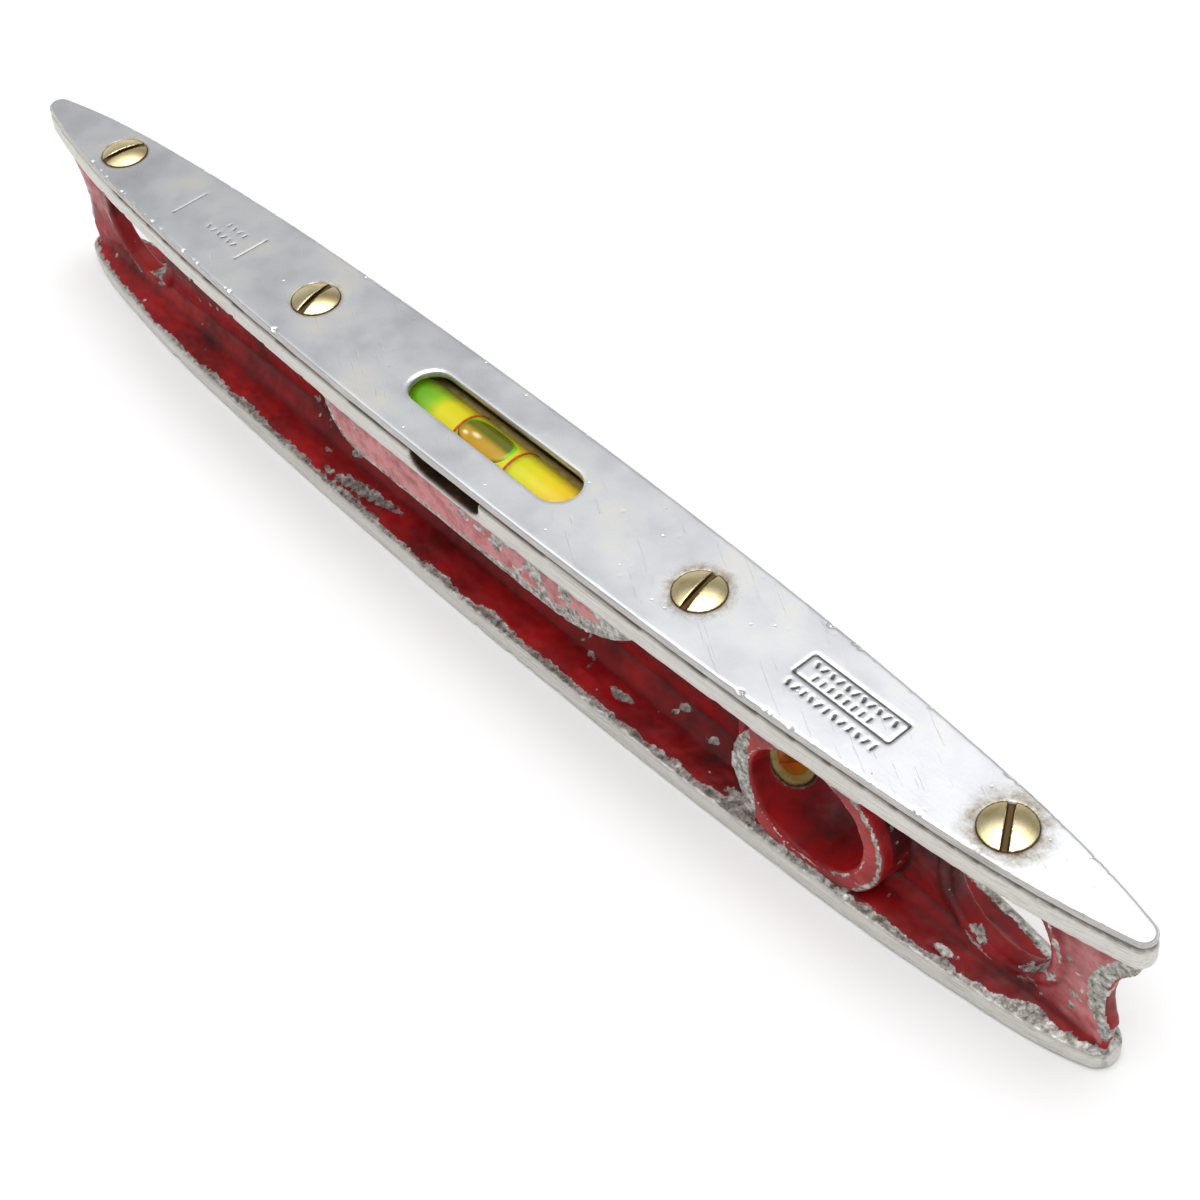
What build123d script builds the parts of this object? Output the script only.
from build123d import *
import math
import os

# Boat-shaped spirit level: a cast body of I section, a flat top plate held by four
# countersunk screws, a level vial under the plate and a plumb vial in a cross bore.
# Millimetres, +Z up. The origin is the centre of the base, X runs along the length
# towards the plumb vial, and -Y is the side that carries the sight window.

# overall sizes
top_length = 228.6
base_length = 222.4
top_width = 18.8
base_width = 20.0
overall_height = 28.6
plate_thickness = 1.4
top_tip_radius = 2.0
base_tip_radius = 3.0

# outline stations: share of the half length, share of the half width
top_outline_shape = [
    (0.175, 0.987),
    (0.350, 0.943),
    (0.525, 0.861),
    (0.700, 0.713),
    (0.831, 0.553),
    (0.927, 0.360),
]
base_outline_shape = [
    (0.180, 0.977),
    (0.360, 0.943),
    (0.540, 0.872),
    (0.720, 0.757),
    (0.855, 0.592),
    (0.950, 0.400),
]

# casting
top_flange_thickness = 3.8
base_flange_thickness = 3.1
edge_break = 0.35
web_thickness = 2.2
flange_slope_height = 0.7
fillet_height = 2.2
fillet_half_width = 3.6
end_notch_radius = 11.8
end_notch_depth = 1.7
end_notch_height = 12.6

# hang holes through the web
hang_hole_spacing = 187.0
hang_hole_diameter = 15.8
hang_hole_height = 13.4
hang_collar_width = 1.7
hang_collar_projection = 0.4

# plumb boss and its cross bore
plumb_bore_diameter = 18.4
plumb_bore_x = 67.0
plumb_bore_height = 14.1
plumb_boss_wall = 3.2
boss_inset = 0.4

# vial housing under the top flange
housing_left_reach = 6.2
housing_right_reach = 16.4
housing_right_shortening = 1.0
housing_floor_thickness = 1.6

# level vial
level_vial_x = -1.0
level_vial_diameter = 8.4
level_vial_length = 40.0
level_vial_wall = 0.8
level_vial_gap_to_plate = 0.2
level_pocket_side_gap = 0.5
level_pocket_end_gap = 3.0
level_bedding_under = 0.7
level_bedding_rise = 2.0
level_line_spacing = 10.8
level_bubble_length = 9.4
level_bubble_flat_height = 1.0
level_bubble_rest_offset = -0.9
level_bubble_travel = 6.0

# plumb vial
plumb_vial_x = 56.0
plumb_vial_diameter = 7.0
plumb_vial_length = 19.0
plumb_vial_wall = 0.7
plumb_pocket_gap = 0.7
plumb_pocket_wall = 1.5
plumb_pocket_floor = 4.9
plumb_bedding_under = 0.6
plumb_bedding_below_plate = 0.2
plumb_line_spacing = 6.4
plumb_bubble_diameter = 4.6
plumb_bubble_length = 6.0
plumb_bubble_travel = 8.5

# lines round both vials
line_width = 0.35
line_thickness = 0.12

# sight cut in the flange edge and window in the plate
sight_cut_length = 15.0
sight_cut_height = 3.3
sight_cut_corner = 2.4
window_length = 34.0
window_width = 6.8
window_chamfer = 0.45

# stamped frames on the plate, with plain tally strokes inside and below
stamp_x = 66.9
stamp_y = 1.0
stamp_length = 16.4
stamp_width = 4.3
stamp_corner = 0.6
stamp_line = 0.42
stamp_depth = 0.18
stroke_height = 1.15
stroke_pitch = 1.3
stroke_lean = 24.0
worn_stamp_x = -66.0
worn_stamp_depth = 0.08

# plate screws
inner_screw_spacing = 82.4
outer_screw_spacing = 185.6
screw_head_diameter = 7.4
screw_thread_diameter = 3.5
screw_length = 4.7
screw_dome_height = 0.7
screw_slot_width = 0.9
screw_slot_depth = 0.85
screw_slot_angles = [80.0, 103.0, 102.0, -55.0]

# clearances
plate_inset = 0.15
seat_clearance = 0.03
thread_clearance = 0.02
liquid_clearance = 0.02
bubble_clearance = 0.05

# heights worked out from the sizes above
body_height = overall_height - plate_thickness
top_flange_under = body_height - top_flange_thickness
level_vial_radius = level_vial_diameter / 2
level_vial_z = body_height - level_vial_gap_to_plate - level_vial_radius
level_pocket_floor = level_vial_z - level_vial_radius - level_bedding_under
level_pocket_width = level_vial_diameter + 2 * level_pocket_side_gap
level_pocket_length = level_vial_length + 2 * level_pocket_end_gap
level_cavity_radius = level_vial_radius - level_vial_wall
housing_bottom = level_pocket_floor - housing_floor_thickness
housing_left_flat = level_pocket_length / 2
housing_right_flat = level_pocket_length / 2 - housing_right_shortening
plumb_vial_radius = plumb_vial_diameter / 2
plumb_pocket_radius = plumb_vial_radius + plumb_pocket_gap
plumb_vial_bottom = plumb_pocket_floor + plumb_bedding_under
plumb_vial_top = plumb_vial_bottom + plumb_vial_length
plumb_cavity_radius = plumb_vial_radius - plumb_vial_wall
head_cone_height = (screw_head_diameter - screw_thread_diameter) / 2
screw_places = [
    -outer_screw_spacing / 2,
    -inner_screw_spacing / 2,
    inner_screw_spacing / 2,
    outer_screw_spacing / 2,
]


def boat_face(length, width, shape, tip_radius, z):
    """Flat boat-shaped face: two bowed sides that meet in a small round tip at each end."""
    a = length / 2
    b = width / 2
    lean = math.radians(20)
    tip_x = a - tip_radius + tip_radius * math.sin(lean)
    tip_y = tip_radius * math.cos(lean)
    right = [(a * u, b * v) for u, v in shape] + [(tip_x, tip_y)]
    left = [(-x, y) for x, y in reversed(right)]
    upper = [(x, y) for x, y in left + [(0, b)] + right]
    lower = [(x, -y) for x, y in upper]
    side_up = Spline(*upper)
    side_down = Spline(*lower)
    right_tip = ThreePointArc((tip_x, tip_y), (a, 0), (tip_x, -tip_y))
    left_tip = ThreePointArc((-tip_x, -tip_y), (-a, 0), (-tip_x, tip_y))
    face = make_face([side_up, right_tip, side_down, left_tip])
    return Pos(0, 0, z) * face


def top_face(z, inset=0.0):
    """Outline of the top flange, drawn in by the inset."""
    length = top_length - 2 * inset
    width = top_width - 2 * inset
    return boat_face(length, width, top_outline_shape, top_tip_radius - inset, z)


def base_face(z, inset=0.0):
    """Outline of the base flange, drawn in by the inset."""
    length = base_length - 2 * inset
    width = base_width - 2 * inset
    return boat_face(length, width, base_outline_shape, base_tip_radius - inset, z)


def flange_slab(face_at, low, high):
    """Flange with both edges broken by a small bevel."""
    bevel_low = loft([face_at(low, edge_break), face_at(low + edge_break, 0)], ruled=True)
    middle = extrude(face_at(low + edge_break, 0), amount=high - low - 2 * edge_break)
    bevel_high = loft([face_at(high - edge_break, 0), face_at(high, edge_break)], ruled=True)
    return bevel_low + middle + bevel_high


def flange_flare(length, width, shape, tip_radius, start_z, direction):
    """Sloped inner side of a flange that runs up into the web like a cast fillet."""
    slope_z = start_z + direction * flange_slope_height
    web_z = slope_z + direction * fillet_height
    root_z = start_z - direction * 0.2
    first = boat_face(length - 2, width - 2 * edge_break, shape, tip_radius - 1, root_z)
    second = boat_face(length - 4, 2 * fillet_half_width, shape, tip_radius / 2, slope_z)
    third = boat_face(length - 6, web_thickness, shape, tip_radius / 4, web_z)
    return loft([first, second], ruled=True) + loft([second, third], ruled=True)


def web_plate():
    """Upright web, from the base tips to the top tips, with a hollow in each end."""
    low = base_flange_thickness / 2
    high = body_height - top_flange_thickness / 2
    low_x = base_length / 2 - base_tip_radius / 2
    high_x = top_length / 2 - top_tip_radius / 2
    points = [(-low_x, low), (low_x, low), (high_x, high), (-high_x, high)]
    outline = Plane.XZ * Polygon(*points, align=None)
    return extrude(outline, amount=web_thickness / 2, both=True)


def end_notch(side):
    """Round hollow that is cut into one end between the flanges."""
    centre_x = base_length / 2 - end_notch_depth + end_notch_radius
    hollow = cross_cylinder(side * centre_x, end_notch_height, end_notch_radius, 2 * base_width)
    clear_height = top_flange_under - base_flange_thickness
    clear_z = (top_flange_under + base_flange_thickness) / 2
    return hollow & Pos(0, 0, clear_z) * Box(2 * top_length, 3 * base_width, clear_height)


def cross_cylinder(x, z, radius, width):
    """Cylinder that lies across the body, along Y."""
    return Pos(x, 0, z) * Rot(90, 0, 0) * Cylinder(radius, width)


def hang_collar(side):
    """Raised ring round one hang hole, on both faces of the web."""
    radius = hang_hole_diameter / 2 + hang_collar_width
    width = web_thickness + 2 * hang_collar_projection
    ring = cross_cylinder(side * hang_hole_spacing / 2, hang_hole_height, radius, width)
    clear_height = top_flange_under - base_flange_thickness + 1
    clear_z = (top_flange_under + base_flange_thickness) / 2
    return ring & Pos(side * hang_hole_spacing / 2, 0, clear_z) * Box(40, base_width, clear_height)


def between_flanges():
    """Prism of the outline between the flanges, that trims bosses to the body's sides."""
    low = base_flange_thickness - 0.5
    high = top_flange_under + 0.5
    return extrude(top_face(low, boss_inset), amount=high - low)


def plumb_boss():
    """Thick ring round the cross bore."""
    radius = plumb_bore_diameter / 2 + plumb_boss_wall
    ring = cross_cylinder(plumb_bore_x, plumb_bore_height, radius, 2 * base_width)
    return ring & between_flanges()


def plumb_pillar():
    """Upright round pillar that holds the plumb vial's pocket."""
    radius = plumb_pocket_radius + plumb_pocket_wall
    low = base_flange_thickness / 2
    height = top_flange_under + 0.5 - low
    return Pos(plumb_vial_x, 0, low + height / 2) * Cylinder(radius, height)


def vial_housing():
    """Boat-bottomed block under the top flange that holds the level vial's pocket."""
    top = top_flange_under + 0.5
    depth = top_flange_under - housing_bottom
    left_start = (-housing_left_flat, housing_bottom)
    left_bend = (-housing_left_flat - 0.8 * housing_left_reach, housing_bottom + 0.44 * depth)
    left_end = (-housing_left_flat - housing_left_reach, top)
    right_start = (housing_right_flat, housing_bottom)
    right_bend = (housing_right_flat + 0.54 * housing_right_reach, housing_bottom + 0.3 * depth)
    right_end = (housing_right_flat + housing_right_reach, top)
    base_line = Line(left_start, right_start)
    right = ThreePointArc(right_start, right_bend, right_end)
    top_line = Line(right_end, left_end)
    left = ThreePointArc(left_end, left_bend, left_start)
    outline = Plane.XZ * make_face([base_line, right, top_line, left])
    return extrude(outline, amount=base_width, both=True) & between_flanges()


def level_pocket(grow=0.0):
    """Round-ended pocket for the level vial, less a growth when used as the bedding's outside."""
    length = level_pocket_length + 2 * grow
    width = level_pocket_width + 2 * grow
    sketch = SlotOverall(length, width)
    depth = body_height - level_pocket_floor + 1
    return Pos(level_vial_x, 0, level_pocket_floor) * extrude(sketch, amount=depth)


def plumb_pocket(shrink=0.0):
    """Upright pocket for the plumb vial, open at the top of the casting."""
    height = body_height - plumb_pocket_floor + 1
    pocket = Cylinder(plumb_pocket_radius - shrink, height)
    return Pos(plumb_vial_x, 0, plumb_pocket_floor + height / 2) * pocket


def sight_cut():
    """Cut through the flange edge on the seen side, level with the vial, with round corners."""
    low = body_height - sight_cut_height
    flat = RectangleRounded(sight_cut_length, 2 * sight_cut_height, sight_cut_corner)
    sketch = Plane.XZ * Pos(0, low + sight_cut_height) * flat
    return extrude(sketch, amount=2 * base_width)


def screw_tool(x, grow):
    """Countersunk hole for one plate screw, in the plate and the flange under it."""
    tip_z = overall_height - screw_length
    cone = Cone(screw_thread_diameter / 2 + grow, screw_head_diameter / 2 + grow, head_cone_height)
    shank_height = screw_length
    shank = Cylinder(screw_thread_diameter / 2 + grow, shank_height)
    rim = Cylinder(screw_head_diameter / 2 + grow, 2)
    tool = Pos(x, 0, tip_z + shank_height / 2) * shank
    tool += Pos(x, 0, overall_height - head_cone_height / 2) * cone
    return tool + Pos(x, 0, overall_height + 0.999) * rim


def make_body():
    """Cast and machined body, one piece of aluminium."""
    body = flange_slab(base_face, 0, base_flange_thickness)
    body += flange_slab(top_face, top_flange_under, body_height)
    body += web_plate()
    low_z = base_flange_thickness
    body += flange_flare(base_length, base_width, base_outline_shape, base_tip_radius, low_z, 1)
    body += flange_flare(top_length, top_width, top_outline_shape, top_tip_radius, top_flange_under, -1)
    body += hang_collar(-1)
    body += hang_collar(1)
    body += plumb_boss()
    body += plumb_pillar()
    body += vial_housing()
    hang_x = hang_hole_spacing / 2
    for side in (-1, 1):
        body -= end_notch(side)
        body -= cross_cylinder(side * hang_x, hang_hole_height, hang_hole_diameter / 2, 3 * base_width)
    body -= cross_cylinder(plumb_bore_x, plumb_bore_height, plumb_bore_diameter / 2, 3 * base_width)
    body -= level_pocket()
    body -= plumb_pocket()
    body -= sight_cut()
    for x in screw_places:
        body -= screw_tool(x, thread_clearance)
    return body


def stroke_row(x, y, leans, depth):
    """Row of short plain strokes, cut into the top of the plate, each with its own lean."""
    row = Part()
    for number, lean in enumerate(leans):
        place_x = x + (number - (len(leans) - 1) / 2) * stroke_pitch
        stroke = Rot(0, 0, lean * stroke_lean) * Box(stamp_line, stroke_height, 2 * depth)
        row += Pos(place_x, y, overall_height) * stroke
    return row


def stamped_frame():
    """Round-cornered border with a zigzag and a row of ticks inside it, and strokes below."""
    outer = RectangleRounded(stamp_length, stamp_width, stamp_corner)
    inner_length = stamp_length - 2 * stamp_line
    inner_width = stamp_width - 2 * stamp_line
    ring = outer - RectangleRounded(inner_length, inner_width, stamp_corner - stamp_line / 2)
    marks = Pos(stamp_x, stamp_y, overall_height - stamp_depth) * extrude(ring, amount=2 * stamp_depth)
    row_step = stroke_height * 0.76
    zigzag = [(-1) ** number for number in range(11)]
    ticks = [0] * 8
    mixed = [1, -1, 0] * 4
    marks += stroke_row(stamp_x, stamp_y + row_step, zigzag, stamp_depth)
    marks += stroke_row(stamp_x - stroke_pitch / 2, stamp_y - row_step, ticks, stamp_depth)
    marks += stroke_row(stamp_x, stamp_y - stamp_width / 2 - stroke_height * 1.2, mixed, stamp_depth)
    return marks


def worn_frame():
    """Ends of an older frame, almost polished away, with a few faint strokes between them."""
    marks = stroke_row(worn_stamp_x + 2, -stroke_height, [1, -1, 1, -1, 1, -1], worn_stamp_depth)
    marks += stroke_row(worn_stamp_x + 3, stroke_height, [0, 1, -1, 0], worn_stamp_depth)
    for side in (-1, 1):
        end = Box(stamp_line, stamp_width * 1.5, 2 * worn_stamp_depth)
        marks += Pos(worn_stamp_x + side * stamp_length / 2, 0, overall_height) * end
    return marks


def make_plate():
    """Flat top plate with the vial window, four countersunk holes and stamped marks."""
    slab_top = extrude(top_face(body_height, plate_inset), amount=plate_thickness - edge_break)
    bevel_low = top_face(overall_height - edge_break, plate_inset)
    bevel_high = top_face(overall_height, plate_inset + edge_break)
    plate = slab_top + loft([bevel_low, bevel_high], ruled=True)
    window = SlotOverall(window_length, window_width)
    plate -= Pos(0, 0, body_height - 1) * extrude(window, amount=plate_thickness + 2)
    wide = SlotOverall(window_length + 2 * window_chamfer, window_width + 2 * window_chamfer)
    low_cut = Pos(0, 0, overall_height - window_chamfer) * window
    plate -= loft([low_cut, Pos(0, 0, overall_height) * wide], ruled=True)
    for x in screw_places:
        plate -= screw_tool(x, seat_clearance)
    plate -= stamped_frame()
    plate -= worn_frame()
    return plate


def make_screw(x, slot_angle):
    """Raised countersunk screw with one straight slot."""
    head_radius = screw_head_diameter / 2
    ball_radius = (head_radius ** 2 + screw_dome_height ** 2) / (2 * screw_dome_height)
    shank_height = screw_length - head_cone_height
    shank_z = overall_height - screw_length + shank_height / 2
    screw = Pos(0, 0, shank_z) * Cylinder(screw_thread_diameter / 2, shank_height)
    cone = Cone(screw_thread_diameter / 2, head_radius, head_cone_height)
    screw += Pos(0, 0, overall_height - head_cone_height / 2) * cone
    ball = Pos(0, 0, overall_height + screw_dome_height - ball_radius) * Sphere(ball_radius)
    keep = Box(3 * head_radius, 3 * head_radius, 2 * screw_dome_height)
    screw += ball & Pos(0, 0, overall_height + screw_dome_height) * keep
    slot_z = overall_height + screw_dome_height - screw_slot_depth + 1
    screw -= Pos(0, 0, slot_z) * Rot(0, 0, slot_angle) * Box(3 * head_radius, screw_slot_width, 2)
    return Pos(x, 0, 0) * screw


def rounded_rod(radius, length, corner):
    """Round bar along Z, centred, with both ends rounded over."""
    bar = Cylinder(radius, length)
    return fillet(bar.edges().filter_by(GeomType.CIRCLE), corner)


def lay_level(shape):
    """Lay a shape made along Z along the level vial's axis."""
    return Pos(level_vial_x, 0, level_vial_z) * Rot(0, 90, 0) * shape


def stand_plumb(shape):
    """Move a shape made along Z to the middle of the plumb vial."""
    return Pos(plumb_vial_x, 0, (plumb_vial_bottom + plumb_vial_top) / 2) * shape


def vial_tube(radius, length, wall):
    """Sealed glass tube with a closed round cavity."""
    outside = rounded_rod(radius, length, radius * 0.45)
    inside = rounded_rod(radius - wall, length - 2 * wall, (radius - wall) * 0.45)
    return outside - inside


def vial_fill(radius, length, wall):
    """What fills the cavity of a vial."""
    grow = liquid_clearance
    inner = radius - wall - grow
    return rounded_rod(inner, length - 2 * wall - 2 * grow, inner * 0.45)


def bubble_bar(length, grow):
    """Top segment of a round-ended bar that the level bubble or its channel fills."""
    radius = level_cavity_radius - liquid_clearance - bubble_clearance + grow
    bar = rounded_rod(radius, length + 2 * grow, radius * 0.9)
    lying = Rot(0, 90, 0) * bar
    low = level_bubble_flat_height - grow
    return lying & Pos(0, 0, low + 10) * Box(2 * length + 40, 20, 20)


def make_level_bubble():
    """Air bubble at the top of the level vial."""
    return Pos(level_vial_x + level_bubble_rest_offset, 0, level_vial_z) * bubble_bar(level_bubble_length, 0)


def make_level_liquid():
    """Liquid of the level vial, less the channel that the bubble travels in."""
    liquid = lay_level(vial_fill(level_vial_radius, level_vial_length, level_vial_wall))
    reach = level_bubble_length + 2 * level_bubble_travel + 2 * abs(level_bubble_rest_offset)
    channel = bubble_bar(reach, bubble_clearance + liquid_clearance + 0.05)
    return liquid - Pos(level_vial_x, 0, level_vial_z) * channel


def plumb_bubble_top():
    """Height of the plumb bubble's upper end at rest."""
    return plumb_vial_top - plumb_vial_wall - liquid_clearance - bubble_clearance


def make_plumb_bubble():
    """Air bubble that rests at the upper end of the plumb vial."""
    bar = rounded_rod(plumb_bubble_diameter / 2, plumb_bubble_length, plumb_bubble_diameter * 0.4)
    return Pos(plumb_vial_x, 0, plumb_bubble_top() - plumb_bubble_length / 2) * bar


def make_plumb_liquid():
    """Liquid of the plumb vial, less the channel that the bubble travels in."""
    liquid = stand_plumb(vial_fill(plumb_vial_radius, plumb_vial_length, plumb_vial_wall))
    reach = plumb_bubble_length + plumb_bubble_travel + bubble_clearance + 1
    radius = plumb_bubble_diameter / 2 + bubble_clearance
    middle = plumb_bubble_top() + 1 - reach / 2
    return liquid - Pos(plumb_vial_x, 0, middle) * Cylinder(radius, reach)


def line_ring(radius):
    """Thin coloured ring round a vial."""
    inner = radius + thread_clearance
    return Cylinder(inner + line_thickness, line_width) - Cylinder(inner, 2 * line_width)


def seat_of_vial(radius, length):
    """Space that a vial takes in its bedding, with the seat clearance all round."""
    gap = seat_clearance
    return rounded_rod(radius + gap, length + 2 * gap, radius * 0.45)


def seat_of_line(radius):
    """Space that a painted line takes in the bedding."""
    outer = radius + thread_clearance + line_thickness + seat_clearance
    return Cylinder(outer, line_width + 2 * seat_clearance)


def make_level_bedding():
    """Setting compound that the level vial is bedded in."""
    top = level_vial_z + level_bedding_rise
    block = level_pocket(-seat_clearance)
    block = block & Pos(0, 0, top - 50) * Box(2 * level_pocket_length + 20, 40, 100)
    block -= lay_level(seat_of_vial(level_vial_radius, level_vial_length))
    for side in (-1, 1):
        block -= lay_level(Pos(0, 0, side * level_line_spacing / 2) * seat_of_line(level_vial_radius))
    return block


def make_plumb_bedding():
    """Setting compound round the plumb vial, cut flush with the cross bore."""
    top = body_height - plumb_bedding_below_plate
    block = plumb_pocket(seat_clearance) & Pos(plumb_vial_x, 0, top - 50) * Box(20, 20, 100)
    block -= stand_plumb(seat_of_vial(plumb_vial_radius, plumb_vial_length))
    for side in (-1, 1):
        block -= stand_plumb(Pos(0, 0, side * plumb_line_spacing / 2) * seat_of_line(plumb_vial_radius))
    return block - cross_cylinder(plumb_bore_x, plumb_bore_height, plumb_bore_diameter / 2, 3 * base_width)


level_glass = vial_tube(level_vial_radius, level_vial_length, level_vial_wall)
plumb_glass = vial_tube(plumb_vial_radius, plumb_vial_length, plumb_vial_wall)
parts = {
    "body_casting": make_body(),
    "top_plate": make_plate(),
    "level_vial_tube": lay_level(level_glass),
    "level_vial_liquid": make_level_liquid(),
    "level_bubble": make_level_bubble(),
    "level_line_left": lay_level(Pos(0, 0, -level_line_spacing / 2) * line_ring(level_vial_radius)),
    "level_line_right": lay_level(Pos(0, 0, level_line_spacing / 2) * line_ring(level_vial_radius)),
    "level_vial_bedding": make_level_bedding(),
    "plumb_vial_tube": stand_plumb(plumb_glass),
    "plumb_vial_liquid": make_plumb_liquid(),
    "plumb_bubble": make_plumb_bubble(),
    "plumb_line_lower": stand_plumb(Pos(0, 0, -plumb_line_spacing / 2) * line_ring(plumb_vial_radius)),
    "plumb_line_upper": stand_plumb(Pos(0, 0, plumb_line_spacing / 2) * line_ring(plumb_vial_radius)),
    "plumb_vial_bedding": make_plumb_bedding(),
}
for number, place in enumerate(screw_places):
    parts["plate_screw_" + str(number + 1)] = make_screw(place, screw_slot_angles[number])

os.makedirs("parts", exist_ok=True)
for name, shape in parts.items():
    solids = shape.solids()
    box = shape.bounding_box()
    print(name, len(solids), "solid", round(shape.volume, 1), "mm3", box.min, box.max)
    if len(solids) == 1:
        shape = solids[0]
    shape.label = name
    export_step(shape, "parts/" + name + ".step")
